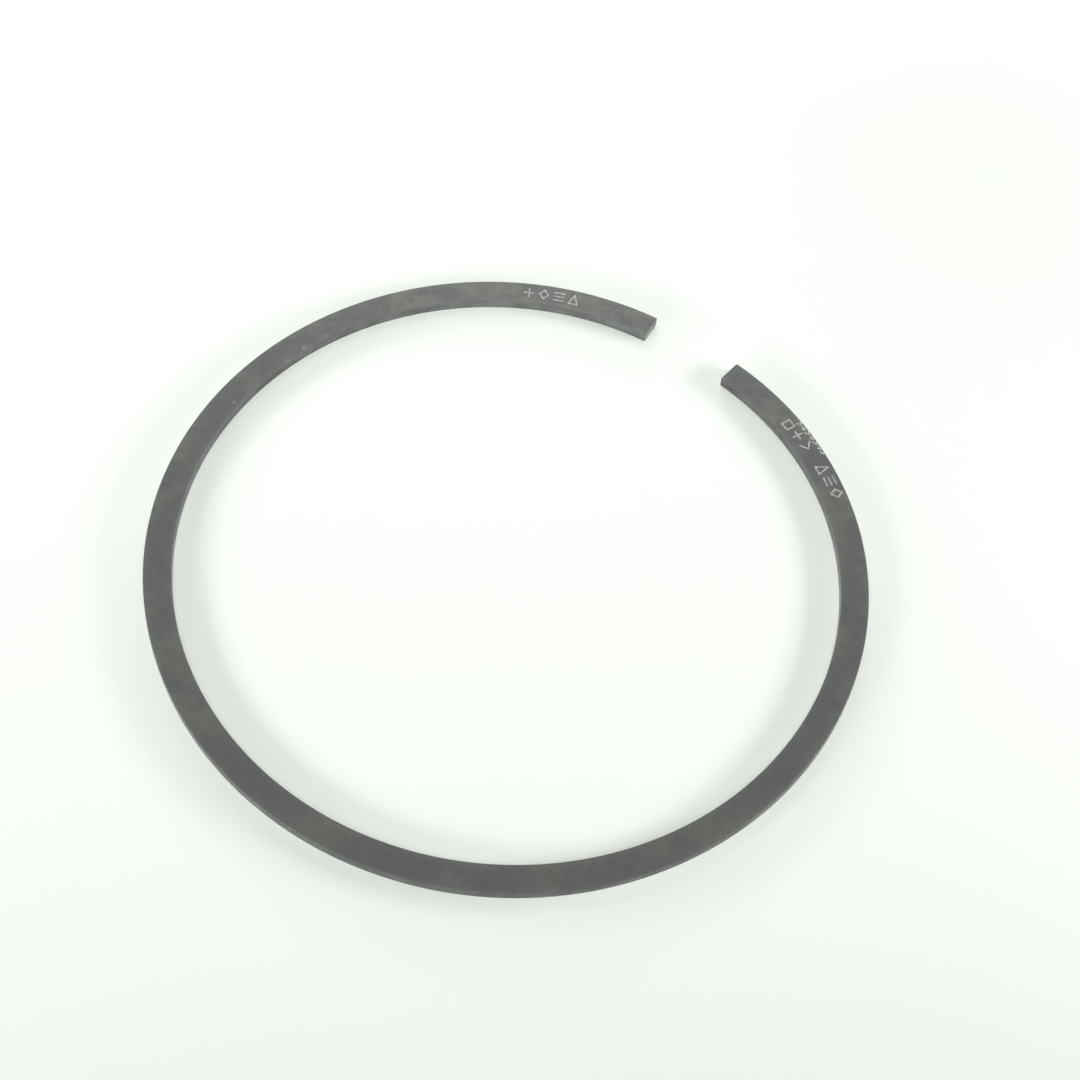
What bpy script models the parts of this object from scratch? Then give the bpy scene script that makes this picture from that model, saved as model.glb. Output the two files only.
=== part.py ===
"""Compression piston ring for an engine cylinder, lying flat and unloaded.

The ring is one piece of cast iron: a thin split band of rectangular section, with a slightly
barrelled running face on the outside and a gap between two butt ends.

Its free shape isn't a circle. A ring that is to press on a round bore with the same force all the
way round has to be opened more at the back than near its ends. Here the closed ring is bent open
by that rule, until its ends stand the free gap apart.

Frame: metres, +Z up. The ring lies on z = 0 with its gap on +Y, and the origin is at the centre
of the free ring's outline.
"""

import math

import bpy
import bmesh
from mathutils import Vector

# Driving dimensions, in metres
BORE_DIAMETER = 0.092       # cylinder that the closed ring fits
RADIAL_WIDTH = 0.00375      # inner face to running face
HEIGHT = 0.0015             # lower side to upper side
FREE_GAP = 0.0134           # between the ends on the mean line, unloaded
CLOSED_GAP = 0.0003         # between the ends on the mean line, in the bore
FACE_CROWN = 0.00003        # how far the running face stands out at half height
EDGE_ROUND = 0.00010        # rounding of the long edges and of the end faces' rims
CORNER_ROUND = 0.00022      # rounding of the ends' upright corners, seen from above

# Fineness of the mesh
HALF_SEGMENTS = 90          # steps along the line from the back to one end
FACE_SEGMENTS = 4           # steps up the running face
ROUND_SEGMENTS = 2          # steps round each rounded edge
SOLVER_STEPS = 60           # halvings that find the free shape
MOST_OPENING = 0.25         # where that search starts

# Finish
IRON_COLOUR = (0.125, 0.127, 0.122, 1.0)
IRON_ROUGHNESS = 0.6
IRON_METALLIC = 0.5

# Mesh tolerances
WELD_DISTANCE = 0.000001
SHARP_ANGLE = math.radians(40.0)
UPRIGHT = 0.9               # least rise, per unit of length, of an edge that counts as upright

# Worked out from the dimensions above
MEAN_RADIUS = 0.5 * (BORE_DIAMETER - RADIAL_WIDTH)
HALF_ARC = math.pi - 0.5 * CLOSED_GAP / MEAN_RADIUS     # back to one end, in the bore
END_STEP = 2.0 * CORNER_ROUND / MEAN_RADIUS             # leaves room for the rounded corners
WIDEST_ROUND = max(EDGE_ROUND, CORNER_ROUND)


def clear_scene():
    """Remove every object that the file opened with."""
    for item in list(bpy.data.objects):
        bpy.data.objects.remove(item, do_unlink=True)


def make_collection(name):
    """Add an empty collection to the scene and return it."""
    collection = bpy.data.collections.new(name)
    bpy.context.scene.collection.children.link(collection)
    return collection


def make_iron():
    """Return the dark phosphated cast iron that the ring is made of."""
    material = bpy.data.materials.new("phosphated_cast_iron")
    material.use_nodes = True
    shader = material.node_tree.nodes["Principled BSDF"]
    shader.inputs["Base Color"].default_value = IRON_COLOUR
    shader.inputs["Roughness"].default_value = IRON_ROUGHNESS
    shader.inputs["Metallic"].default_value = IRON_METALLIC
    material.diffuse_color = IRON_COLOUR
    material.roughness = IRON_ROUGHNESS
    material.metallic = IRON_METALLIC
    return material


def half_line_angles():
    """Return the closed ring's angles, from the back at zero to the end, at each step.

    The steps are even, but for one short step at the end, which leaves the end face square to
    the line.
    """
    even = [HALF_ARC * index / HALF_SEGMENTS for index in range(HALF_SEGMENTS)]
    return even + [HALF_ARC - END_STEP, HALF_ARC]


def half_mean_line(opening):
    """Return the free ring's mean line from the back, on -Y, to the end on +X.

    In the bore the line is a circle of MEAN_RADIUS. An even pressure bends a split ring there by
    an amount that goes with 1 + cos(angle), angle taken from the back, so the free line lacks
    that much curvature. The opening is the share that is lacking for each unit of that.
    """
    angles = half_line_angles()
    heading = 0.0
    point = Vector((0.0, -MEAN_RADIUS, 0.0))
    points = [point.copy()]
    for start, end in zip(angles, angles[1:]):
        middle = 0.5 * (start + end)
        turn = (end - start) * (1.0 - opening * (1.0 + math.cos(middle)))
        direction = Vector((math.cos(heading + 0.5 * turn), math.sin(heading + 0.5 * turn), 0.0))
        point += direction * (end - start) * MEAN_RADIUS
        heading += turn
        points.append(point.copy())
    return points


def solve_opening():
    """Return the opening at which the line's two ends stand FREE_GAP apart."""
    low = 0.0
    high = MOST_OPENING
    for _ in range(SOLVER_STEPS):
        middle = 0.5 * (low + high)
        if 2.0 * half_mean_line(middle)[-1].x < FREE_GAP:
            low = middle
        else:
            high = middle
    return 0.5 * (low + high)


def free_mean_line():
    """Return the whole free line, anticlockwise seen from above, from end to end."""
    right = half_mean_line(solve_opening())
    left = [Vector((-point.x, point.y, 0.0)) for point in reversed(right[1:])]
    return left + right


def section_points():
    """Return the ring's section, as places outward of the mean line and above the lower side."""
    half = 0.5 * RADIAL_WIDTH
    points = [(-half, 0.0, 0.0), (-half, HEIGHT, 0.0)]
    for index in range(FACE_SEGMENTS + 1):
        rise = 1.0 - index / FACE_SEGMENTS
        fall = FACE_CROWN * (2.0 * rise - 1.0) ** 2
        points.append((half - fall, HEIGHT * rise, 0.0))
    return points


def add_guide(name, points, closed, collection):
    """Add a curve of straight steps through the points, as a guide that isn't rendered."""
    curve = bpy.data.curves.new(name, "CURVE")
    curve.dimensions = "2D" if closed else "3D"
    curve.twist_mode = "Z_UP"
    curve.render_resolution_u = 0
    spline = curve.splines.new("POLY")
    spline.points.add(len(points) - 1)
    for target, point in zip(spline.points, points):
        target.co = (point[0], point[1], point[2], 1.0)
    spline.use_cyclic_u = closed
    guide = bpy.data.objects.new(name, curve)
    guide.hide_render = True
    guide.display_type = "WIRE"
    collection.objects.link(guide)
    return guide


def sweep_section(guides):
    """Carry the section along the free mean line and return the band with its ends filled."""
    section = add_guide("section", section_points(), True, guides)
    line = add_guide("mean_line", free_mean_line(), False, guides)
    line.data.bevel_mode = "OBJECT"
    line.data.bevel_object = section
    line.data.use_fill_caps = True
    bpy.context.view_layer.update()
    depsgraph = bpy.context.evaluated_depsgraph_get()
    mesh = bpy.data.meshes.new_from_object(line.evaluated_get(depsgraph), depsgraph=depsgraph)
    bpy.data.objects.remove(line, do_unlink=True)
    return mesh


def is_upright(edge):
    """Return whether the edge runs from the lower side to the upper side."""
    span = edge.verts[1].co - edge.verts[0].co
    return abs(span.z) > UPRIGHT * span.length


def finish_band(mesh):
    """Close the band at its ends, centre it, and set how far each of its edges is rounded."""
    band = bmesh.new()
    band.from_mesh(mesh)
    bmesh.ops.remove_doubles(band, verts=band.verts, dist=WELD_DISTANCE)
    end_faces = [face for face in band.faces if len(face.verts) == 3]
    bmesh.ops.dissolve_faces(band, faces=end_faces)
    places = [vertex.co.y for vertex in band.verts]
    centre = Vector((0.0, 0.5 * (min(places) + max(places)), 0.0))
    bmesh.ops.translate(band, verts=band.verts, vec=-centre)
    weight = band.edges.layers.float.new("bevel_weight_edge")
    for edge in band.edges:
        if edge.calc_face_angle() < SHARP_ANGLE:
            continue
        size = CORNER_ROUND if is_upright(edge) else EDGE_ROUND
        edge[weight] = size / WIDEST_ROUND
    band.to_mesh(mesh)
    band.free()


def make_ring(name, collection, guides):
    """Build the ring and return its object."""
    mesh = sweep_section(guides)
    finish_band(mesh)
    mesh.name = name
    mesh.shade_smooth()
    mesh.materials.clear()
    mesh.materials.append(make_iron())
    ring = bpy.data.objects.new(name, mesh)
    collection.objects.link(ring)
    rounding = ring.modifiers.new("rounded_edges", "BEVEL")
    rounding.limit_method = "WEIGHT"
    rounding.offset_type = "OFFSET"
    rounding.width = WIDEST_ROUND
    rounding.segments = ROUND_SEGMENTS
    rounding.harden_normals = True
    return ring


def main():
    """Build the ring in its own collection, and its section in another."""
    clear_scene()
    parts = make_collection("piston ring")
    guides = make_collection("guides")
    make_ring("piston_ring", parts, guides)


main()
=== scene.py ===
"""Looks of a compression piston ring that lies flat and unloaded on a pale floor.

The ring is one piece of cast iron with a dark phosphate coat. Its band is spun here along the same
free line as the solid that it stands for, with finer steps and rounder edges. Rows of plain
figures are engraved in its upper side, on either side of the gap.

Everything is in metres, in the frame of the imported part: +Z up, the gap on +Y. A direction round
the ring is given by its azimuth, which is 0 on -Y and 90 degrees on +X.
"""

import sys
import logging
import math
from dataclasses import dataclass, field
from enum import Enum
from typing import Callable

import bmesh
import bpy
import numpy as np
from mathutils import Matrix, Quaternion, Vector


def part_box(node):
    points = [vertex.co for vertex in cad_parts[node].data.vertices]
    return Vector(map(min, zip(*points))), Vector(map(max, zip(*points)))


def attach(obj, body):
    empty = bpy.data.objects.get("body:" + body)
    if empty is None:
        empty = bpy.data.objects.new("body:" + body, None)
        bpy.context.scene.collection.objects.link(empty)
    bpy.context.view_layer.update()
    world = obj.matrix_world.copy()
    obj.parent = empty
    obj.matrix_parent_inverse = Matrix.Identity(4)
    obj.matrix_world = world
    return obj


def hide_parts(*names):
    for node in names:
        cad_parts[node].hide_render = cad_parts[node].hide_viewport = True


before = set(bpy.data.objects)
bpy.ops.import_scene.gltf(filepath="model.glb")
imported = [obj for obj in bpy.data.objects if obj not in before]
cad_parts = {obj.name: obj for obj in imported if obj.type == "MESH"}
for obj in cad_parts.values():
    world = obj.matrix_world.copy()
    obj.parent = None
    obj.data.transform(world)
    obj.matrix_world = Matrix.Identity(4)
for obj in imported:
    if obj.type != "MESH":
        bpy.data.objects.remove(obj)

LOG = logging.getLogger("piston_ring")
NODE = "piston_ring"
BODY = "root"
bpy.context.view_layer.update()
MM = 0.001
BAND = "band"               # the attribute that holds a point's place in the band
PLACE_ROUNDS = 4            # corrections that settle a point's distance along the free line
PHOSPHATE_FACES = 0         # material slots of the ring
ETCHED_FACES = 1

Socket = bpy.types.NodeSocket


# Modelling helpers

class Part(Enum):
    """What a selection in edit mode is made of."""

    VERT = "verts"
    EDGE = "edges"
    FACE = "faces"


def deselect_all() -> None:
    """Leave edit mode and deselect every object."""
    if bpy.context.object and bpy.context.object.mode != "OBJECT":
        bpy.ops.object.mode_set(mode="OBJECT")
    bpy.ops.object.select_all(action="DESELECT")


def make_active(piece: bpy.types.Object) -> None:
    """Select one object alone and make it the active one.

    Args:
        piece: The object to work on next.
    """
    deselect_all()
    piece.select_set(True)
    bpy.context.view_layer.objects.active = piece


def freeze_place(piece: bpy.types.Object) -> None:
    """Move an object's place, turn and scale into its mesh.

    Args:
        piece: The object, which then sits at the origin.
    """
    make_active(piece)
    bpy.ops.object.transform_apply(location=True, rotation=True, scale=True)


def start_editing(piece: bpy.types.Object) -> None:
    """Open an object in edit mode with nothing selected.

    Args:
        piece: The object to edit.
    """
    make_active(piece)
    bpy.ops.object.mode_set(mode="EDIT")
    bpy.ops.mesh.select_all(action="DESELECT")


def select(piece: bpy.types.Object, part: Part, wanted: Callable[..., bool]) -> None:
    """Select just those parts of the mesh in edit mode that pass a test.

    Args:
        piece: The object in edit mode.
        part: Whether vertices, edges or faces are selected.
        wanted: The test, which is given a vertex, an edge or a face.
    """
    bpy.ops.mesh.select_mode(type=part.name)
    bpy.ops.mesh.select_all(action="DESELECT")
    mesh = bmesh.from_edit_mesh(piece.data)
    for item in getattr(mesh, part.value):
        item.select_set(wanted(item))
    mesh.select_flush_mode()
    bmesh.update_edit_mesh(piece.data)


def apply_modifier(piece: bpy.types.Object, modifier: bpy.types.Modifier) -> None:
    """Make a modifier's result the object's mesh.

    Args:
        piece: The object that has the modifier.
        modifier: The modifier to apply.
    """
    make_active(piece)
    bpy.ops.object.modifier_apply(modifier=modifier.name)


# The ring's line

@dataclass(frozen=True)
class Arc:
    """One short arc of the free mean line."""

    centre: Vector
    turn: float


@dataclass(frozen=True)
class Trace:
    """The free mean line as it lies, from the end on -X to the end on +X.

    The arrays give the distance along the line from the back, the place and the heading, at each
    point where two arcs meet.
    """

    along: np.ndarray
    x: np.ndarray
    y: np.ndarray
    heading: np.ndarray
    arcs: list[Arc]

    @property
    def end(self) -> float:
        """Distance along the line from the back to either end."""
        return float(self.along[-1])

    def place(self, along: float, across: float, height: float) -> Vector:
        """Find a point of the band.

        Args:
            along: Distance along the line from the back, positive towards +X.
            across: Distance outward from the line.
            height: Height above the floor.

        Returns:
            The point in the part's frame.
        """
        heading = float(np.interp(along, self.along, self.heading))
        x = float(np.interp(along, self.along, self.x)) + across * math.sin(heading)
        y = float(np.interp(along, self.along, self.y)) - across * math.cos(heading)
        return Vector((x, y, height))

    def band_places(self, points: np.ndarray) -> np.ndarray:
        """Work out where points lie in the band.

        Args:
            points: Rows of x, y and z in the part's frame.

        Returns:
            Rows of along, across and height, as place() takes them.
        """
        azimuths = np.arctan2(self.x, -self.y)
        along = np.interp(np.arctan2(points[:, 0], -points[:, 1]), azimuths, self.along)
        for _ in range(PLACE_ROUNDS):
            heading = np.interp(along, self.along, self.heading)
            east = points[:, 0] - np.interp(along, self.along, self.x)
            north = points[:, 1] - np.interp(along, self.along, self.y)
            along = along + east * np.cos(heading) + north * np.sin(heading)
            along = np.clip(along, -self.end, self.end)
        across = east * np.sin(heading) - north * np.cos(heading)
        return np.stack([along, across, points[:, 2]], axis=1)


@dataclass(frozen=True)
class FreeLine:
    """The sizes that set the unloaded ring's mean line.

    Closed in the bore the line is a circle. An even pressure bends it there in proportion to
    1 + cos(angle from the back), so the free line lacks that much curvature.
    """

    bore: float = 92.0 * MM
    width: float = 3.75 * MM
    free_gap: float = 13.4 * MM
    closed_gap: float = 0.3 * MM
    arcs: int = 72
    halvings: int = 60
    most_opening: float = 0.25

    @property
    def radius(self) -> float:
        """Radius of the mean line when the ring is closed in its bore."""
        return 0.5 * (self.bore - self.width)

    @property
    def half_angle(self) -> float:
        """Closed ring's angle from the back to either end."""
        return math.pi - 0.5 * self.closed_gap / self.radius

    @property
    def arc_length(self) -> float:
        """Length of one arc."""
        return self.radius * self.half_angle / self.arcs

    @property
    def back(self) -> Vector:
        """The line's point at the back, from which the running face reaches the node's box."""
        lowest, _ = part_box(NODE)
        return Vector((0.0, lowest.y + 0.5 * self.width, 0.0))

    def turns(self, opening: float) -> list[float]:
        """Work out how far each arc turns.

        Args:
            opening: Share of the curvature that is lacking, for each unit of 1 + cos(angle).

        Returns:
            The turn of each arc from the back to the end, in radians.
        """
        step = self.half_angle / self.arcs
        angles = [step * (index + 0.5) for index in range(self.arcs)]
        return [step * (1.0 - opening * (1.0 + math.cos(angle))) for angle in angles]

    def follow(self, turns: list[float]) -> list[tuple[Vector, float]]:
        """Walk along the arcs from the back.

        Args:
            turns: The turn of each arc, in radians.

        Returns:
            The point and the heading at the back and after each arc.
        """
        point = self.back
        heading = 0.0
        places = [(point.copy(), heading)]
        for turn in turns:
            chord = self.arc_length * math.sin(0.5 * turn) / (0.5 * turn)
            middle = heading + 0.5 * turn
            point = point + chord * Vector((math.cos(middle), math.sin(middle), 0.0))
            heading += turn
            places.append((point.copy(), heading))
        return places

    def solve(self) -> list[float]:
        """Find the turns that leave the two ends the free gap apart.

        Returns:
            The turn of each arc from the back to the end, in radians.
        """
        low = 0.0
        high = self.most_opening
        for _ in range(self.halvings):
            middle = 0.5 * (low + high)
            end, _ = self.follow(self.turns(middle))[-1]
            if 2.0 * end.x < self.free_gap:
                low = middle
            else:
                high = middle
        return self.turns(0.5 * (low + high))

    def trace(self) -> Trace:
        """Lay out the free line.

        Returns:
            The line, with the arcs of its +X half.
        """
        turns = self.solve()
        places = self.follow(turns)
        arcs = []
        for (point, heading), turn in zip(places, turns):
            inward = Vector((-math.sin(heading), math.cos(heading), 0.0))
            arcs.append(Arc(point + inward * (self.arc_length / turn), turn))
        right = [(index * self.arc_length, point.x, point.y, heading)
                 for index, (point, heading) in enumerate(places)]
        left = [(-along, -x, y, -heading) for along, x, y, heading in reversed(right[1:])]
        rows = np.array(left + right)
        return Trace(rows[:, 0], rows[:, 1], rows[:, 2], rows[:, 3], arcs)


# The engraved figures

class Figure(Enum):
    """A plain figure, as strokes in a box one unit wide and high about its middle.

    The first number of a point runs along the row in reading order, the second outward.
    """

    BLANK = ()
    TRIANGLE = (((-0.5, -0.5), (0.5, -0.5)), ((0.5, -0.5), (0.0, 0.5)), ((0.0, 0.5), (-0.5, -0.5)))
    DIAMOND = (((0.0, -0.5), (0.5, 0.0)), ((0.5, 0.0), (0.0, 0.5)), ((0.0, 0.5), (-0.5, 0.0)),
               ((-0.5, 0.0), (0.0, -0.5)))
    SQUARE = (((-0.5, -0.4), (0.5, -0.4)), ((0.5, -0.4), (0.5, 0.4)), ((0.5, 0.4), (-0.5, 0.4)),
              ((-0.5, 0.4), (-0.5, -0.4)))
    CROSS = (((-0.5, 0.0), (0.5, 0.0)), ((0.0, -0.45), (0.0, 0.45)))
    CHEVRON = (((-0.4, -0.5), (0.4, 0.0)), ((0.4, 0.0), (-0.4, 0.5)))
    BARS = (((-0.5, -0.4), (0.5, -0.4)), ((-0.5, 0.0), (0.5, 0.0)), ((-0.5, 0.4), (0.5, 0.4)))


@dataclass(frozen=True)
class FigureRow:
    """A row of figures that reads clockwise, seen from above."""

    figures: tuple[Figure, ...]
    first: float                # the first figure's distance along the line from the back
    pitch: float = 2.22 * MM
    across_first: float = 0.0   # how far outward of the line the first figure's middle is
    across_last: float = 0.0    # and the last figure's
    wide: float = 1.30 * MM
    high: float = 1.68 * MM

    def strokes(self, trace: Trace, height: float) -> list[tuple[Vector, Vector]]:
        """Lay the row's strokes out on the band.

        Args:
            trace: The free line.
            height: Height above the floor.

        Returns:
            The two ends of each stroke, in the part's frame.
        """
        made = []
        for index, figure in enumerate(self.figures):
            share = index / max(1, len(self.figures) - 1)
            across = self.across_first + share * (self.across_last - self.across_first)
            along = self.first - index * self.pitch
            for stroke in figure.value:
                ends = [trace.place(along - x * self.wide, across + y * self.high, height)
                        for x, y in stroke]
                made.append((ends[0], ends[1]))
        return made


@dataclass(frozen=True)
class Engraving:
    """Shallow round-bottomed grooves in the upper side."""

    rows: tuple[FigureRow, ...]
    stroke: float = 0.26 * MM   # how wide a groove is at the surface
    depth: float = 0.03 * MM
    sides: int = 24             # of a cutter's rod
    cap_steps: int = 6
    cap_share: float = 0.97     # how much of a stroke's end is rounded, short of a point
    cap_edge: float = math.radians(60.0)    # sharper edges are round a cutter's flat ends

    @property
    def cutter_radius(self) -> float:
        """Radius of the round cutter that leaves the stroke's width at its depth."""
        return (0.25 * self.stroke ** 2 + self.depth ** 2) / (2.0 * self.depth)

    def stroke_cutter(self, start: Vector, end: Vector) -> bpy.types.Object:
        """Model the cutter for one stroke, a rod with round ends.

        Args:
            start: One end of the rod's axis.
            end: The other end.

        Returns:
            The cutter.
        """
        span = end - start
        radius = self.cutter_radius
        deselect_all()
        bpy.ops.mesh.primitive_cylinder_add(
            vertices=self.sides, radius=radius, depth=span.length + 2.0 * radius,
            location=0.5 * (start + end), rotation=(0.0, 0.5 * math.pi, math.atan2(span.y, span.x)))
        cutter = bpy.context.active_object
        freeze_place(cutter)
        start_editing(cutter)
        select(cutter, Part.EDGE, lambda edge: edge.calc_face_angle() > self.cap_edge)
        bpy.ops.mesh.bevel(offset=self.cap_share * radius, segments=self.cap_steps, affect="EDGES")
        bpy.ops.object.mode_set(mode="OBJECT")
        return cutter

    def cutter(self, trace: Trace, surface: float) -> bpy.types.Object:
        """Model the cutter for all the rows.

        Args:
            trace: The free line.
            surface: Height of the upper side.

        Returns:
            The strokes' cutters as one object.
        """
        axis = surface + self.cutter_radius - self.depth
        made = [self.stroke_cutter(start, end)
                for row in self.rows for start, end in row.strokes(trace, axis)]
        deselect_all()
        for piece in made:
            piece.select_set(True)
        bpy.context.view_layer.objects.active = made[0]
        bpy.ops.object.join()
        made[0].name = "engraving_cutter"
        return made[0]


# Finishes

@dataclass(frozen=True)
class Pattern:
    """A cloudy pattern: its features for each metre, and how many finer layers it has."""

    scale: float
    detail: float


class Sheet:
    """A material's nodes, added one after another."""

    def __init__(self, name: str) -> None:
        """Start an empty material.

        Args:
            name: The material's name.
        """
        self.material = bpy.data.materials.new(name)
        self.material.use_nodes = True
        self.tree = self.material.node_tree
        self.shader = self.tree.nodes["Principled BSDF"]

    def add(self, kind: str, inputs: dict | None = None, **settings: object) -> bpy.types.Node:
        """Add a node.

        Args:
            kind: The node's type, without its leading ShaderNode.
            inputs: What its sockets get, each a value or a socket to link from.
            settings: The node's own settings.

        Returns:
            The node.
        """
        node = self.tree.nodes.new("ShaderNode" + kind)
        for name, value in settings.items():
            setattr(node, name, value)
        for socket, value in (inputs or {}).items():
            self.put(node.inputs[socket], value)
        return node

    def put(self, socket: Socket, value: object) -> None:
        """Give a socket a value, or link it from another socket."""
        if isinstance(value, Socket):
            self.tree.links.new(value, socket)
        else:
            socket.default_value = value

    def math(self, operation: str, *values: object) -> Socket:
        """Add a Math node.

        Args:
            operation: What it does.
            values: Its inputs in order.

        Returns:
            The result's socket.
        """
        node = self.add("Math", operation=operation)
        for socket, value in zip(node.inputs, values):
            self.put(socket, value)
        return node.outputs[0]

    def ramp(self, value: Socket, low: float, high: float,
             to_low: object = 0.0, to_high: object = 1.0) -> Socket:
        """Map a range smoothly to another.

        Args:
            value: What is mapped.
            low: Where the range starts.
            high: Where it ends.
            to_low: What its start gives.
            to_high: What its end gives.

        Returns:
            The result's socket.
        """
        node = self.add("MapRange", {"Value": value, "From Min": low, "From Max": high,
                                     "To Min": to_low, "To Max": to_high})
        node.interpolation_type = "SMOOTHSTEP"
        return node.outputs["Result"]

    def noise(self, place: Socket, pattern: Pattern) -> Socket:
        """Add a cloudy pattern.

        Args:
            place: The coordinates, in metres.
            pattern: How coarse and how detailed it is.

        Returns:
            The pattern's socket, about 0.5 on average.
        """
        node = self.add("TexNoise", {"Vector": place, "Scale": pattern.scale,
                                     "Detail": pattern.detail})
        return node.outputs["Fac"]

    def scaled(self, place: Socket, by: tuple[float, float, float]) -> Socket:
        """Stretch coordinates by a factor for each axis."""
        node = self.add("VectorMath", {0: place, 1: by}, operation="MULTIPLY")
        return node.outputs[0]

    def brighten(self, colour: Socket, by: Socket) -> Socket:
        """Multiply a colour by a level."""
        node = self.add("VectorMath", {0: colour, "Scale": by}, operation="SCALE")
        return node.outputs["Vector"]

    def relief(self, height: Socket, distance: float) -> None:
        """Raise the surface by a pattern.

        Args:
            height: The pattern.
            distance: How high it stands where the pattern is 1.
        """
        bump = self.add("Bump", {"Height": height, "Distance": distance, "Strength": 1.0})
        self.put(self.shader.inputs["Normal"], bump.outputs["Normal"])

    def blend(self, share: Socket, plain: object, other: object) -> Socket:
        """Mix two colours.

        Args:
            share: How much of the second shows.
            plain: The first colour, or its socket.
            other: The second.

        Returns:
            The mixed colour's socket.
        """
        node = self.add("Mix", data_type="RGBA")
        colours = [socket for socket in node.inputs if socket.type == "RGBA"]
        for socket, value in zip((node.inputs[0], *colours), (share, plain, other)):
            self.put(socket, value)
        return next(socket for socket in node.outputs if socket.type == "RGBA")


Colour = tuple[float, float, float, float]


def grey(level: float, red: float = 0.0, blue: float = 0.0) -> Colour:
    """Return a near grey.

    Args:
        level: Its green.
        red: How much more red it has, as a share.
        blue: How much more blue it has, as a share.

    Returns:
        The colour, linear and opaque.
    """
    return (level * (1.0 + red), level, level * (1.0 + blue), 1.0)


@dataclass(frozen=True)
class BandSockets:
    """Where a shaded point lies, and how far it is from the band's sides."""

    place: Socket           # in the part's frame
    band: Socket            # along, outward and above, as one vector
    along: Socket           # from the back, positive towards +X
    outward: Socket         # from the mean line
    above: Socket           # from the lower side
    from_wall: Socket       # in from the inner or the running face
    from_end: Socket
    from_side: Socket       # down from the upper side or up from the lower

    @classmethod
    def locate(cls, sheet: Sheet, half_width: float, height: float, end: float) -> "BandSockets":
        """Read a point's place in the band.

        Args:
            sheet: The material's nodes.
            half_width: From the mean line to the inner or the running face.
            height: From the lower to the upper side.
            end: From the back to either end, along the line.

        Returns:
            The sockets.
        """
        band = sheet.add("Attribute", attribute_name=BAND).outputs["Vector"]
        along, outward, above = sheet.add("SeparateXYZ", {0: band}).outputs
        return cls(
            place=sheet.add("TexCoord").outputs["Object"], band=band, along=along, outward=outward,
            above=above,
            from_wall=sheet.math("SUBTRACT", half_width, sheet.math("ABSOLUTE", outward)),
            from_end=sheet.math("SUBTRACT", end, sheet.math("ABSOLUTE", along)),
            from_side=sheet.math("MINIMUM", above, sheet.math("SUBTRACT", height, above)))


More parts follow.
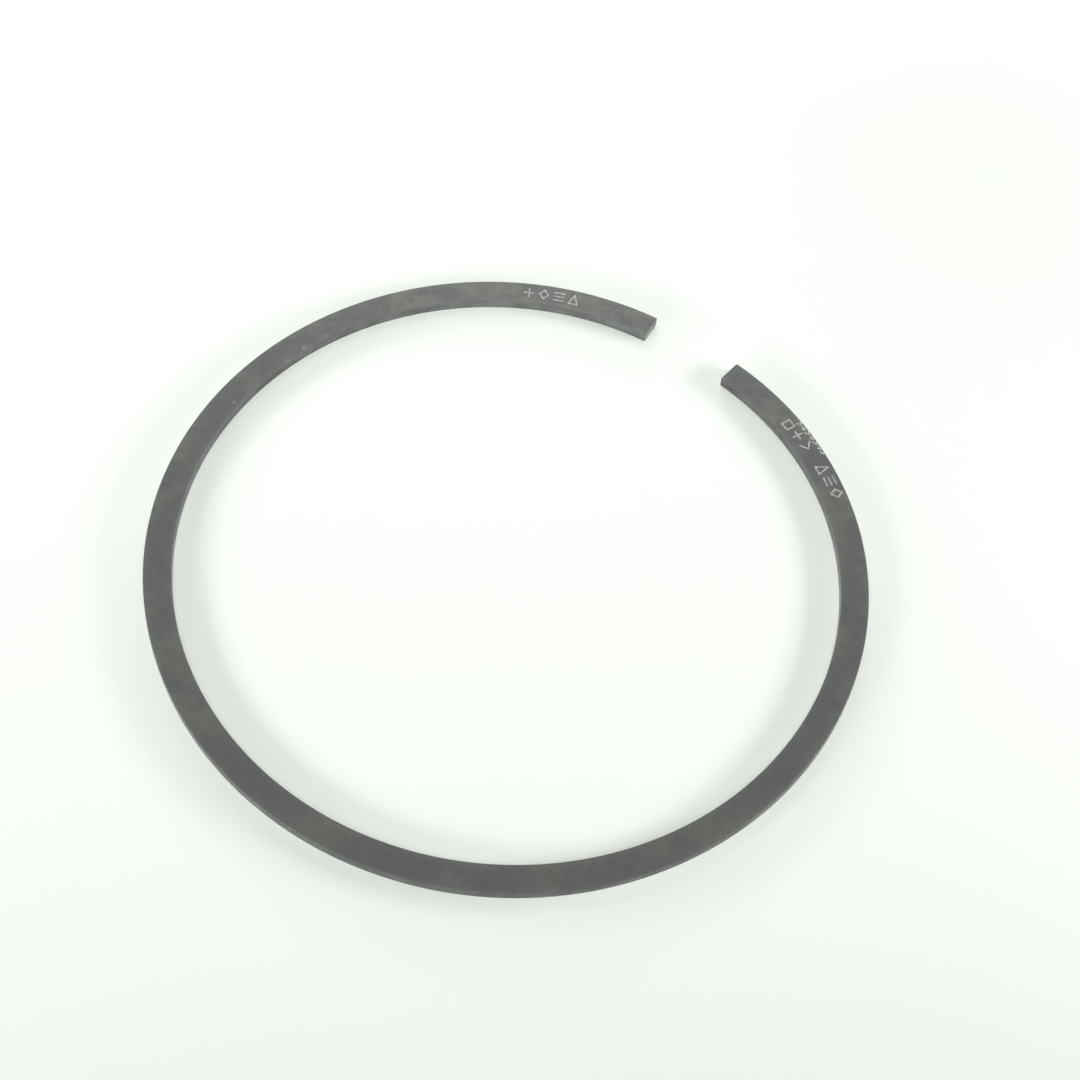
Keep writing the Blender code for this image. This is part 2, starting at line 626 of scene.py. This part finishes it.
@dataclass(frozen=True)
class PhosphateFinish:
    """Dark phosphate coat on ground cast iron, dull and faintly mottled.

    The upper and lower sides are coated, a little thinner along their margins. The running face is
    lapped, and the inner face and the ends are turned and ground, so these are paler, stained and
    streaked along the band. Towards the end on -X the inner face is painted paler still, a painted
    light over that stretch of the face. A span is the part of a pattern that is spread out, and
    levels are what its two ends give.
    """

    coat: Colour = grey(0.085, -0.08, -0.065)
    cloud: Colour = grey(0.109, -0.05, -0.12)
    grain: Colour = grey(0.068, -0.06, -0.08)
    lapped: Colour = grey(0.145, -0.03, -0.03)
    lapped_streak: Colour = grey(0.100, -0.05, -0.04)
    turned: Colour = grey(0.180, -0.03, -0.02)
    turned_streak: Colour = grey(0.122, -0.04, -0.04)
    # Painted light: over one stretch towards the end on -X, the inner face is painted paler, with
    # its own streaks.
    painted_light_turned: Colour = grey(0.238, -0.03, -0.02)
    painted_light_streak: Colour = grey(0.163, -0.04, -0.04)
    painted_light_span: tuple[float, float] = (-125.0 * MM, -70.0 * MM)    # where the inner face is paler
    bare: Colour = grey(0.135, -0.01, -0.04)
    fleck: Colour = grey(0.155, -0.02, -0.04)

    cloud_pattern: Pattern = Pattern(170.0, 3.0)
    cloud_span: tuple[float, float] = (0.35, 0.65)
    mottle_pattern: Pattern = Pattern(650.0, 4.0)
    mottle_span: tuple[float, float] = (0.35, 0.65)
    mottle_levels: tuple[float, float] = (0.15, 0.95)       # how much of the grain shows
    grain_pattern: Pattern = Pattern(9000.0, 2.0)
    grain_span: tuple[float, float] = (0.40, 0.62)
    lay_pattern: Pattern = Pattern(1.0, 3.0)
    lay_stretch: tuple[float, float, float] = (90.0, 9000.0, 9000.0)
    lay_span: tuple[float, float] = (0.3, 0.7)
    stain_pattern: Pattern = Pattern(300.0, 4.0)
    stain_span: tuple[float, float] = (0.35, 0.65)
    stain_levels: tuple[float, float] = (0.82, 1.16)        # how dark and how pale the stains are

    margin: float = 1.10 * MM
    margin_level: float = 1.12          # how much paler the coat is at its very edge
    rim: float = 0.16 * MM              # how far the rims' wear reaches
    rim_span: tuple[float, float] = (0.35, 0.7)
    rim_levels: tuple[float, float] = (0.10, 0.50)          # how much of the coat is rubbed off
    wall_start: float = 0.02 * MM       # how far down a rim the wall's finish begins
    wall_full: float = 0.09 * MM
    fleck_core: float = 0.1             # how much of a fleck's radius is as pale as its middle
    flecks: tuple[tuple[float, float, float], ...] = (      # from the -X end, outward, and radius
        (54.5 * MM, -1.35 * MM, 0.55 * MM), (68.5 * MM, -1.10 * MM, 0.45 * MM),
        (90.7 * MM, -1.76 * MM, 0.24 * MM), (94.3 * MM, -1.76 * MM, 0.24 * MM),
        (94.4 * MM, 1.58 * MM, 0.24 * MM))

    rough_span: tuple[float, float] = (0.3, 0.7)
    rough_levels: tuple[float, float] = (0.43, 0.54)
    rim_polish: float = 0.05            # how much smoother the worn rims are
    wall_roughness: float = 0.40
    metallic: float = 0.35
    wall_metallic: float = 0.60
    relief_height: float = 0.003 * MM
    grain_relief: float = 0.7           # shares of the grain and the lay in the relief
    lay_relief: float = 0.5

    def build(self, half_width: float, height: float, end: float) -> bpy.types.Material:
        """Make the material.

        Args:
            half_width: From the mean line to the inner or the running face.
            height: From the lower to the upper side.
            end: From the back to either end, along the line.

        Returns:
            The material.
        """
        sheet = Sheet("phosphate_coat")
        spot = BandSockets.locate(sheet, half_width, height, end)
        mottle = sheet.noise(spot.place, self.mottle_pattern)
        grain = sheet.noise(spot.place, self.grain_pattern)
        lay = sheet.noise(sheet.scaled(spot.band, self.lay_stretch), self.lay_pattern)
        rim = self.rim_mask(sheet, spot, mottle)
        wall = sheet.ramp(spot.from_side, self.wall_start, self.wall_full)
        colour = sheet.blend(wall, self.coat_colour(sheet, spot, mottle, grain, end),
                             self.wall_colour(sheet, spot, lay, half_width))
        sheet.put(sheet.shader.inputs["Base Color"], sheet.blend(rim, colour, self.bare))
        rough = sheet.ramp(mottle, *self.rough_span, *self.rough_levels)
        rough = sheet.math("SUBTRACT", rough, sheet.math("MULTIPLY", rim, self.rim_polish))
        sheet.put(sheet.shader.inputs["Roughness"],
                  sheet.ramp(wall, 0.0, 1.0, rough, self.wall_roughness))
        sheet.put(sheet.shader.inputs["Metallic"],
                  sheet.ramp(wall, 0.0, 1.0, self.metallic, self.wall_metallic))
        relief = sheet.math("ADD", sheet.math("MULTIPLY", grain, self.grain_relief),
                            sheet.math("MULTIPLY", lay, self.lay_relief))
        sheet.relief(relief, self.relief_height)
        return sheet.material

    def coat_colour(self, sheet: Sheet, spot: BandSockets, mottle: Socket, grain: Socket,
                    end: float) -> Socket:
        """Colour the coated sides.

        Args:
            sheet: The material's nodes.
            spot: Where the point lies.
            mottle: The pattern of millimetre-wide patches.
            grain: The pattern of the coat's crystals.
            end: From the back to either end, along the line.

        Returns:
            The colour's socket.
        """
        cloud = sheet.ramp(sheet.noise(spot.place, self.cloud_pattern), *self.cloud_span)
        colour = sheet.blend(cloud, self.coat, self.cloud)
        dark = sheet.math("MULTIPLY", sheet.ramp(grain, *self.grain_span),
                          sheet.ramp(mottle, *self.mottle_span, *self.mottle_levels))
        colour = sheet.blend(dark, colour, self.grain)
        margin = sheet.ramp(spot.from_wall, 0.0, self.margin, self.margin_level, 1.0)
        colour = sheet.brighten(colour, margin)
        return sheet.blend(self.fleck_mask(sheet, spot, end), colour, self.fleck)

    def wall_colour(self, sheet: Sheet, spot: BandSockets, lay: Socket,
                    half_width: float) -> Socket:
        """Colour the running face, the inner face and the ends.

        Args:
            sheet: The material's nodes.
            spot: Where the point lies.
            lay: The pattern of tool marks along the band.
            half_width: From the mean line to the inner or the running face.

        Returns:
            The colour's socket.
        """
        streak = sheet.ramp(lay, *self.lay_span)
        # painted light: the inner face is painted paler over that stretch towards the end on -X
        paler = sheet.ramp(spot.along, *self.painted_light_span, 1.0, 0.0)
        inner = sheet.blend(paler, sheet.blend(streak, self.turned_streak, self.turned),
                            sheet.blend(streak, self.painted_light_streak, self.painted_light_turned))
        outer = sheet.blend(streak, self.lapped_streak, self.lapped)
        colour = sheet.blend(sheet.ramp(spot.outward, 0.0, half_width), inner, outer)
        stain = sheet.noise(spot.place, self.stain_pattern)
        return sheet.brighten(colour, sheet.ramp(stain, *self.stain_span, *self.stain_levels))

    def fleck_mask(self, sheet: Sheet, spot: BandSockets, end: float) -> Socket:
        """Find the small pale flecks in the coat.

        Args:
            sheet: The material's nodes.
            spot: Where the point lies.
            end: From the back to either end, along the line.

        Returns:
            The mask's socket.
        """
        flat = sheet.scaled(spot.band, (1.0, 1.0, 0.0))
        mask = None
        for from_end, outward, radius in self.flecks:
            middle = (from_end - end, outward, 0.0)
            away = sheet.add("VectorMath", {0: flat, 1: middle}, operation="DISTANCE")
            near = sheet.ramp(away.outputs["Value"], self.fleck_core * radius, radius, 1.0, 0.0)
            mask = near if mask is None else sheet.math("MAXIMUM", mask, near)
        return mask

    def rim_mask(self, sheet: Sheet, spot: BandSockets, mottle: Socket) -> Socket:
        """Find where handling has rubbed the coat off the rims.

        On any face one of the distances to the band's three pairs of sides is nothing, so the
        middle one of the three is the distance to the nearest rim.

        Args:
            sheet: The material's nodes.
            spot: Where the point lies.
            mottle: A pattern that breaks the wear up.

        Returns:
            The mask's socket.
        """
        smaller = sheet.math("MINIMUM", spot.from_wall, spot.from_side)
        larger = sheet.math("MAXIMUM", spot.from_wall, spot.from_side)
        away = sheet.math("MAXIMUM", smaller, sheet.math("MINIMUM", larger, spot.from_end))
        near = sheet.ramp(away, 0.0, self.rim, 1.0, 0.0)
        return sheet.math("MULTIPLY", near, sheet.ramp(mottle, *self.rim_span, *self.rim_levels))


@dataclass(frozen=True)
class EtchFinish:
    """Pale frosted metal at the bottom of the engraved strokes."""

    pale: Colour = grey(0.45, -0.01, -0.04)
    dull: Colour = grey(0.24, -0.01, -0.04)
    roughness: float = 0.62
    metallic: float = 0.1
    patch_pattern: Pattern = Pattern(2600.0, 2.0)
    patch_span: tuple[float, float] = (0.40, 0.66)
    grain_pattern: Pattern = Pattern(16000.0, 2.0)
    grain_height: float = 0.003 * MM

    def build(self) -> bpy.types.Material:
        """Make the material.

        Returns:
            The material.
        """
        sheet = Sheet("etched_strokes")
        place = sheet.add("TexCoord").outputs["Object"]
        patch = sheet.ramp(sheet.noise(place, self.patch_pattern), *self.patch_span)
        sheet.put(sheet.shader.inputs["Base Color"], sheet.blend(patch, self.pale, self.dull))
        sheet.put(sheet.shader.inputs["Roughness"], self.roughness)
        sheet.put(sheet.shader.inputs["Metallic"], self.metallic)
        sheet.relief(sheet.noise(place, self.grain_pattern), self.grain_height)
        return sheet.material


# The ring

@dataclass
class PistonRing:
    """The ring's band, engraved and finished."""

    engraving: Engraving
    line: FreeLine = field(default_factory=FreeLine)
    coat: PhosphateFinish = field(default_factory=PhosphateFinish)
    etch: EtchFinish = field(default_factory=EtchFinish)
    height: float = 1.5 * MM
    face_crown: float = 0.03 * MM   # how far the running face stands out at half height
    face_steps: int = 8
    steps_per_arc: int = 2
    corner_round: float = 0.22 * MM
    rim_round: float = 0.10 * MM
    round_steps: int = 4
    merge: float = 0.001 * MM       # how near two points are taken as one
    sliver: float = 0.0005 * MM     # thinner faces are dissolved
    sharp: float = math.radians(40.0)       # sharper edges are rounded
    smooth: float = math.radians(27.0)      # flatter edges are shaded smooth

    def build(self) -> bpy.types.Object:
        """Model the ring, engrave it and dress it.

        Returns:
            The ring.
        """
        trace = self.line.trace()
        ring = self.start_section()
        self.crown_running_face(ring)
        self.spin_half(ring, trace)
        self.mirror_half(ring)
        self.round_edges(ring)
        self.engrave(ring, trace)
        self.smooth_faces(ring)
        self.note_band_places(ring, trace)
        return ring

    def start_section(self) -> bpy.types.Object:
        """Set the band's section upright at the back, as one flat face.

        Returns:
            The ring's object, in edit mode.
        """
        middle = self.line.back + Vector((0.0, 0.0, 0.5 * self.height))
        deselect_all()
        bpy.ops.mesh.primitive_plane_add(
            size=1.0, location=middle, rotation=(0.0, 0.5 * math.pi, 0.0))
        ring = bpy.context.active_object
        ring.name = "ring_band"
        ring.data.name = "ring_band"
        freeze_place(ring)
        start_editing(ring)
        bpy.ops.mesh.select_all(action="SELECT")
        bpy.ops.transform.resize(
            value=(1.0, self.line.width, self.height), center_override=middle)
        return ring

    def crown_running_face(self, ring: bpy.types.Object) -> None:
        """Divide the section's outer side and pull its two ends in, so that it bulges.

        Args:
            ring: The ring's object, in edit mode.
        """
        back = self.line.back.y
        select(ring, Part.EDGE, lambda edge: all(vert.co.y < back for vert in edge.verts))
        bpy.ops.mesh.subdivide(number_cuts=self.face_steps - 1, ngon=True)
        for level in range(self.face_steps + 1):
            rise = level / self.face_steps
            fall = self.face_crown * (2.0 * rise - 1.0) ** 2
            select(ring, Part.VERT, lambda vert: vert.co.y < back
                   and abs(vert.co.z - rise * self.height) < self.merge)
            bpy.ops.transform.translate(value=(0.0, fall, 0.0))

    def spin_half(self, ring: bpy.types.Object, trace: Trace) -> None:
        """Spin the section along the arcs of the +X half.

        Args:
            ring: The ring's object, in edit mode.
            trace: The free line.
        """
        bpy.ops.mesh.select_mode(type="FACE")
        bpy.ops.mesh.select_all(action="SELECT")
        for arc in trace.arcs:
            bpy.ops.mesh.spin(steps=self.steps_per_arc, angle=arc.turn, center=arc.centre,
                              axis=(0.0, 0.0, -1.0))
        select(ring, Part.FACE,
               lambda face: all(abs(vert.co.x) < self.merge for vert in face.verts))
        bpy.ops.mesh.delete(type="FACE")
        bpy.ops.object.mode_set(mode="OBJECT")

    def mirror_half(self, ring: bpy.types.Object) -> None:
        """Add the -X half and turn all faces outward.

        Args:
            ring: The ring's object.
        """
        mirror = ring.modifiers.new("other_half", "MIRROR")
        mirror.merge_threshold = self.merge
        apply_modifier(ring, mirror)
        start_editing(ring)
        bpy.ops.mesh.select_all(action="SELECT")
        bpy.ops.mesh.remove_doubles(threshold=self.merge)
        bpy.ops.mesh.normals_make_consistent(inside=False)
        bpy.ops.object.mode_set(mode="OBJECT")

    def round_edges(self, ring: bpy.types.Object) -> None:
        """Round the ends' upright corners, then every rim.

        Args:
            ring: The ring's object.
        """
        start_editing(ring)
        select(ring, Part.EDGE, lambda edge: edge.calc_face_angle() > self.sharp
               and abs(edge.verts[0].co.z - edge.verts[1].co.z) > self.merge)
        bpy.ops.mesh.bevel(offset=self.corner_round, segments=self.round_steps, affect="EDGES")
        select(ring, Part.EDGE, lambda edge: edge.calc_face_angle() > self.sharp)
        bpy.ops.mesh.bevel(offset=self.rim_round, segments=self.round_steps, affect="EDGES")
        bpy.ops.object.mode_set(mode="OBJECT")

    def engrave(self, ring: bpy.types.Object, trace: Trace) -> None:
        """Cut the figures, and give the coat and the strokes their materials.

        Args:
            ring: The ring's object.
            trace: The free line.
        """
        cutter = self.engraving.cutter(trace, self.height)
        coat = self.coat.build(0.5 * self.line.width, self.height, trace.end)
        etch = self.etch.build()
        for piece, faces in ((ring, PHOSPHATE_FACES), (cutter, ETCHED_FACES)):
            piece.data.materials.clear()
            piece.data.materials.append(coat)
            piece.data.materials.append(etch)
            piece.data.polygons.foreach_set("material_index", [faces] * len(piece.data.polygons))
        cut = ring.modifiers.new("engraving", "BOOLEAN")
        cut.operation = "DIFFERENCE"
        cut.solver = "EXACT"
        cut.use_self = True
        cut.object = cutter
        apply_modifier(ring, cut)
        bpy.data.objects.remove(cutter, do_unlink=True)
        start_editing(ring)
        bpy.ops.mesh.select_all(action="SELECT")
        bpy.ops.mesh.dissolve_degenerate(threshold=self.sliver)
        bpy.ops.object.mode_set(mode="OBJECT")

    def smooth_faces(self, ring: bpy.types.Object) -> None:
        """Shade the roundings smooth and keep the flat sides flat.

        Args:
            ring: The ring's object.
        """
        make_active(ring)
        bpy.ops.object.shade_smooth_by_angle(angle=self.smooth)
        weighted = ring.modifiers.new("flat_sides", "WEIGHTED_NORMAL")
        weighted.keep_sharp = True
        apply_modifier(ring, weighted)

    def note_band_places(self, ring: bpy.types.Object, trace: Trace) -> None:
        """Store each vertex's place in the band for the finish.

        Args:
            ring: The ring's object.
            trace: The free line.
        """
        places = np.empty(3 * len(ring.data.vertices), np.float32)
        ring.data.vertices.foreach_get("co", places)
        band = trace.band_places(places.reshape(-1, 3).astype(float))
        layer = ring.data.attributes.new(BAND, "FLOAT_VECTOR", "POINT")
        layer.data.foreach_set("vector", band.astype(np.float32).ravel())

    def report(self, ring: bpy.types.Object) -> None:
        """Log the ring's size and how fine its mesh is.

        Args:
            ring: The finished ring.
        """
        mesh = bmesh.new()
        mesh.from_mesh(ring.data)
        open_edges = sum(not edge.is_manifold for edge in mesh.edges)
        triangles = sum(len(face.verts) - 2 for face in mesh.faces)
        volume = mesh.calc_volume() / MM ** 3
        mesh.free()
        size = " x ".join(f"{side / MM:.2f}" for side in ring.dimensions)
        LOG.info("%s: %s mm, %d triangles, %d open edges, %.0f mm3", ring.name, size, triangles,
                 open_edges, volume)


# The studio

def toward(azimuth: float, elevation: float) -> Vector:
    """Find the unit vector towards a direction.

    Args:
        azimuth: Angle round the ring, in radians.
        elevation: Angle above the floor, in radians.

    Returns:
        The vector.
    """
    flat = math.cos(elevation)
    return Vector((math.sin(azimuth) * flat, -math.cos(azimuth) * flat, math.sin(elevation)))


@dataclass(frozen=True)
class PhotoCamera:
    """The camera, aimed at a point on the floor."""

    azimuth: float = math.radians(31.472)
    elevation: float = math.radians(56.753)
    roll: float = math.radians(4.899)
    aim: Vector = Vector((1.46 * MM, 6.10 * MM, 0.0))
    distance: float = 254.35 * MM
    lens: float = 62.627
    sensor: float = 36.0
    nearest: float = 5.0 * MM
    farthest: float = 20.0

    def build(self) -> bpy.types.Object:
        """Set the camera up and make it the scene's.

        Returns:
            The camera.
        """
        data = bpy.data.cameras.new("photo_camera")
        data.lens = self.lens
        data.sensor_width = self.sensor
        data.sensor_fit = "HORIZONTAL"
        data.clip_start = self.nearest
        data.clip_end = self.farthest
        camera = bpy.data.objects.new("photo_camera", data)
        bpy.context.scene.collection.objects.link(camera)
        back = toward(self.azimuth, self.elevation)
        camera.location = self.aim + self.distance * back
        camera.rotation_mode = "QUATERNION"
        level = (-back).to_track_quat("-Z", "Y")
        camera.rotation_quaternion = level @ Quaternion((0.0, 0.0, 1.0), self.roll)
        bpy.context.scene.camera = camera
        return camera


RING_SIDE = 46.0 * MM       # the ring's own radius, at which a low lamp is aimed


@dataclass(frozen=True)
class SoftBox:
    """A soft lamp, and how bright it makes a white floor where it is aimed."""

    name: str
    turn: float                 # degrees round the ring from the camera, positive to its right
    rise: float                 # degrees above the floor, seen from its aim
    distance: float             # from its aim
    wide: float
    high: float
    share: float                # 1 lights a white floor to white
    aim_out: float = 0.0        # how far from the ring's middle, towards the lamp, it is aimed

    @property
    def power(self) -> float:
        """Power of a flat lamp that gives its share where it is aimed."""
        return self.share * (math.pi * self.distance) ** 2 / math.sin(math.radians(self.rise))

    def build(self) -> bpy.types.Object:
        """Place the lamp, facing its aim.

        Returns:
            The lamp.
        """
        azimuth = PhotoCamera().azimuth + math.radians(self.turn)
        away = toward(azimuth, math.radians(self.rise))
        aim = self.aim_out * toward(azimuth, 0.0)
        deselect_all()
        bpy.ops.object.light_add(type="AREA", location=aim + self.distance * away)
        lamp = bpy.context.active_object
        lamp.name = self.name
        lamp.rotation_mode = "QUATERNION"
        lamp.rotation_quaternion = (-away).to_track_quat("-Z", "Y")
        lamp.data.shape = "RECTANGLE"
        lamp.data.size = self.wide
        lamp.data.size_y = self.high
        lamp.data.energy = self.power
        return lamp


@dataclass(frozen=True)
class Studio:
    """A pale floor, a pale room and soft lamps."""

    lamps: tuple[SoftBox, ...]
    floor_size: float = 3.0
    floor_gap: float = 0.02 * MM
    floor_colour: Colour = grey(0.80, -0.05, -0.065)
    floor_glow: Colour = grey(1.0, -0.05, -0.065)
    glow_middle: float = 0.30           # how much the floor glows in the middle of the ring
    glow_span: tuple[float, float] = (0.0, 0.20)        # over which that glow fades
    sweep_span: tuple[float, float] = (0.09, 0.30)      # over which the floor turns to plain white
    room_light: float = 0.05

    def build_floor(self) -> bpy.types.Object:
        """Lay the floor just under the ring.

        Returns:
            The floor.
        """
        deselect_all()
        bpy.ops.mesh.primitive_plane_add(size=self.floor_size, location=(0.0, 0.0, -self.floor_gap))
        floor = bpy.context.active_object
        floor.name = "floor"
        freeze_place(floor)
        sheet = Sheet("pale_floor")
        sheet.put(sheet.shader.inputs["Base Color"], self.floor_colour)
        sheet.put(sheet.shader.inputs["Roughness"], 1.0)
        sheet.put(sheet.shader.inputs["Specular IOR Level"], 0.0)
        sheet.put(sheet.shader.inputs["Emission Color"], self.floor_glow)
        place = sheet.add("TexCoord").outputs["Object"]
        reach = sheet.add("VectorMath", {0: place}, operation="LENGTH").outputs["Value"]
        strength = sheet.ramp(reach, *self.glow_span, self.glow_middle, 0.0)
        strength = sheet.ramp(reach, *self.sweep_span, strength, 1.0)
        path = sheet.add("LightPath")
        seen = sheet.math("MAXIMUM", path.outputs["Is Camera Ray"], path.outputs["Is Glossy Ray"])
        seen = sheet.math("MAXIMUM", seen, path.outputs["Is Transmission Ray"])
        glow = sheet.math("MULTIPLY", seen, strength)
        sheet.put(sheet.shader.inputs["Emission Strength"], glow)
        floor.data.materials.append(sheet.material)
        return floor

    def build_room(self) -> None:
        """Make the room white to the eye and in reflections, and a soft fill for the rest."""
        world = bpy.data.worlds.new("pale_room")
        world.use_nodes = True
        bpy.context.scene.world = world
        tree = world.node_tree
        background = tree.nodes["Background"]
        background.inputs["Color"].default_value = (1.0, 1.0, 1.0, 1.0)
        path = tree.nodes.new("ShaderNodeLightPath")
        seen = path.outputs["Is Camera Ray"]
        for name in ("Is Glossy Ray", "Is Transmission Ray"):
            either = tree.nodes.new("ShaderNodeMath")
            either.operation = "MAXIMUM"
            tree.links.new(seen, either.inputs[0])
            tree.links.new(path.outputs[name], either.inputs[1])
            seen = either.outputs[0]
        level = tree.nodes.new("ShaderNodeMapRange")
        level.inputs["To Min"].default_value = self.room_light
        level.inputs["To Max"].default_value = 1.0
        tree.links.new(seen, level.inputs["Value"])
        tree.links.new(level.outputs["Result"], background.inputs["Strength"])

    def build(self) -> None:
        """Set up the floor, the room and the lamps."""
        self.build_floor()
        self.build_room()
        for lamp in self.lamps:
            lamp.build()
        bpy.context.scene.view_settings.view_transform = "Standard"


def plain_figures(end: float) -> tuple[FigureRow, ...]:
    """Lay out the rows of figures on either side of the gap.

    Args:
        end: From the back to either end, along the line.

    Returns:
        A row near the -X end, a longer one near the +X end, and small worn ones outward of that.
    """
    near_left = FigureRow(
        figures=(Figure.CROSS, Figure.DIAMOND, Figure.BARS, Figure.TRIANGLE),
        first=-(end - 18.9 * MM), across_first=0.10 * MM, across_last=0.10 * MM)
    near_right = FigureRow(
        figures=(Figure.SQUARE, Figure.CROSS, Figure.CHEVRON, Figure.BLANK, Figure.TRIANGLE,
                 Figure.BARS, Figure.DIAMOND),
        first=end - 12.3 * MM, pitch=2.15 * MM, across_first=-0.10 * MM, across_last=0.50 * MM)
    worn = FigureRow(
        figures=(Figure.CHEVRON, Figure.CROSS, Figure.CHEVRON, Figure.CROSS, Figure.CHEVRON,
                 Figure.CROSS, Figure.CHEVRON),
        first=end - 13.0 * MM, pitch=0.92 * MM, across_first=1.40 * MM, across_last=1.66 * MM,
        wide=0.62 * MM, high=0.62 * MM)
    return (near_left, near_right, worn)


LAMPS = (
    SoftBox("right_strip", turn=90.0, rise=16.0, distance=0.22, wide=0.16, high=0.040,
            share=0.375, aim_out=RING_SIDE),
    SoftBox("front_left_strip", turn=-45.0, rise=16.0, distance=0.30, wide=0.22, high=0.045,
            share=0.235, aim_out=RING_SIDE),
    SoftBox("left_strip", turn=-90.0, rise=14.0, distance=0.16, wide=0.12, high=0.030,
            share=0.154, aim_out=RING_SIDE),
    SoftBox("far_left_strip", turn=-135.0, rise=20.0, distance=0.16, wide=0.12, high=0.030,
            share=0.123, aim_out=RING_SIDE),
    SoftBox("far_strip", turn=180.0, rise=12.0, distance=0.22, wide=0.16, high=0.030,
            share=0.106, aim_out=RING_SIDE),
    SoftBox("far_low_box", turn=180.0, rise=45.0, distance=0.15, wide=0.14, high=0.080,
            share=0.174, aim_out=RING_SIDE),
    SoftBox("far_high_box", turn=180.0, rise=60.0, distance=0.18, wide=0.14, high=0.080,
            share=0.097, aim_out=RING_SIDE),
    SoftBox("front_box", turn=0.0, rise=57.0, distance=0.60, wide=0.30, high=0.300, share=0.227),
)


def main() -> None:
    """Build the camera, the ring and its studio."""
    logging.basicConfig(level=logging.INFO, format="%(name)s: %(message)s", stream=sys.stdout)
    PhotoCamera().build()
    line = FreeLine()
    maker = PistonRing(engraving=Engraving(rows=plain_figures(line.trace().end)), line=line)
    ring = maker.build()
    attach(ring, BODY)
    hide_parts(NODE)
    maker.report(ring)
    Studio(LAMPS).build()


if __name__ == "__main__":
    main()
